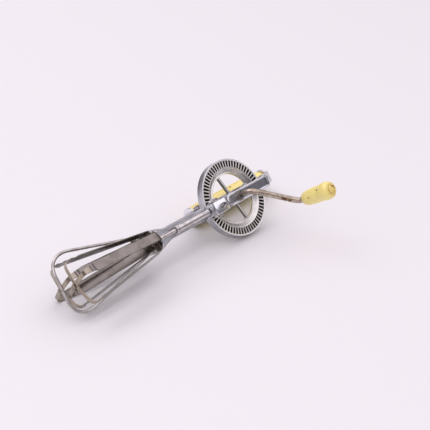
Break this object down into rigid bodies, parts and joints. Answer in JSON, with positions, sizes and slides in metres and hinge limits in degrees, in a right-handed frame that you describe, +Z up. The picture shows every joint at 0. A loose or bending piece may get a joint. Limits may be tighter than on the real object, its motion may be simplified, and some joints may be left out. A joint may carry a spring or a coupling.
{
  "type": "rotary egg beater",
  "caption": "Hand-cranked rotary egg beater: toothed drive wheel, pinions, twin looped-blade beaters, wire bow, bent crank with knob, and a side grip.",
  "frame": {"origin": "middle of the footprint on the surface the tool lies on", "axes": "+X from the beaters to the handle along the tool, +Z up with the tool lying on its grip's eye, its wheel and one beater; the crank stands towards -Y"},
  "size_m": [0.3168, 0.1418, 0.0715],
  "materials": {
    "frame_steel": "worn plated steel",
    "wheel_steel": "worn plated steel, dark in the slots",
    "blade_steel": "satin, slightly tarnished",
    "rod_steel": "tarnished, brownish",
    "bright_steel": "polished",
    "yellow_paint": "glossy butter-yellow paint on turned wood, chipped"
  },
  "bodies": {
    "frame": {"front_strap": "frame_steel", "rear_strap": "frame_steel", "yoke_plate": "frame_steel", "wire_bow": "blade_steel", "top_rivet_1": "frame_steel", "top_rivet_2": "frame_steel", "lower_arm": "frame_steel", "arm_rivet_1": "frame_steel", "arm_rivet_2": "frame_steel", "grip": "yellow_paint", "grip_rod": "bright_steel", "grip_head_lower": "frame_steel", "grip_head_upper": "frame_steel", "front_sleeve": "bright_steel", "front_collar": "bright_steel", "rear_sleeve": "bright_steel", "rear_collar": "bright_steel"},
    "drive": {"drive_wheel": "wheel_steel", "crank_rod": "rod_steel", "axle_spacer_front": "bright_steel", "axle_spacer_rear": "bright_steel", "axle_head": "bright_steel", "knob_washer": "rod_steel", "knob_rivet": "rod_steel"},
    "knob": {"knob": "yellow_paint"},
    "front_beater": {"front_pinion": "bright_steel", "front_shaft": "blade_steel", "front_shaft_cap": "bright_steel", "front_beater_collar": "blade_steel", "front_blade_outer": "blade_steel", "front_blade_inner": "blade_steel", "front_blade_rivet": "blade_steel"},
    "rear_beater": {"rear_pinion": "bright_steel", "rear_shaft": "blade_steel", "rear_shaft_cap": "bright_steel", "rear_beater_collar": "blade_steel", "rear_blade_outer": "blade_steel", "rear_blade_inner": "blade_steel", "rear_blade_rivet": "blade_steel"}
  },
  "joints": [
    {"name": "crank_spin", "type": "hinge", "parent": "frame", "child": "drive", "pos_m": [0.06633, 0.02737, 0.03539], "axis": [-0.019, -0.8038, 0.5947], "continuous": true},
    {"name": "front_beater_spin", "type": "hinge", "parent": "frame", "child": "front_beater", "pos_m": [-0.09384, 0.01669, 0.03818], "axis": [0.9995, 0, 0.0319], "continuous": true},
    {"name": "rear_beater_spin", "type": "hinge", "parent": "frame", "child": "rear_beater", "pos_m": [-0.09333, 0.03804, 0.02238], "axis": [0.9995, 0, 0.0319], "continuous": true},
    {"name": "knob_spin", "type": "hinge", "parent": "drive", "child": "knob", "pos_m": [0.10595, -0.05135, 0.05471], "axis": [-0.019, -0.8038, 0.5947], "continuous": true}
  ],
  "couplings": [
    {"joint": "front_beater_spin", "follows": "crank_spin", "ratio": -4},
    {"joint": "rear_beater_spin", "follows": "crank_spin", "ratio": 4}
  ]
}
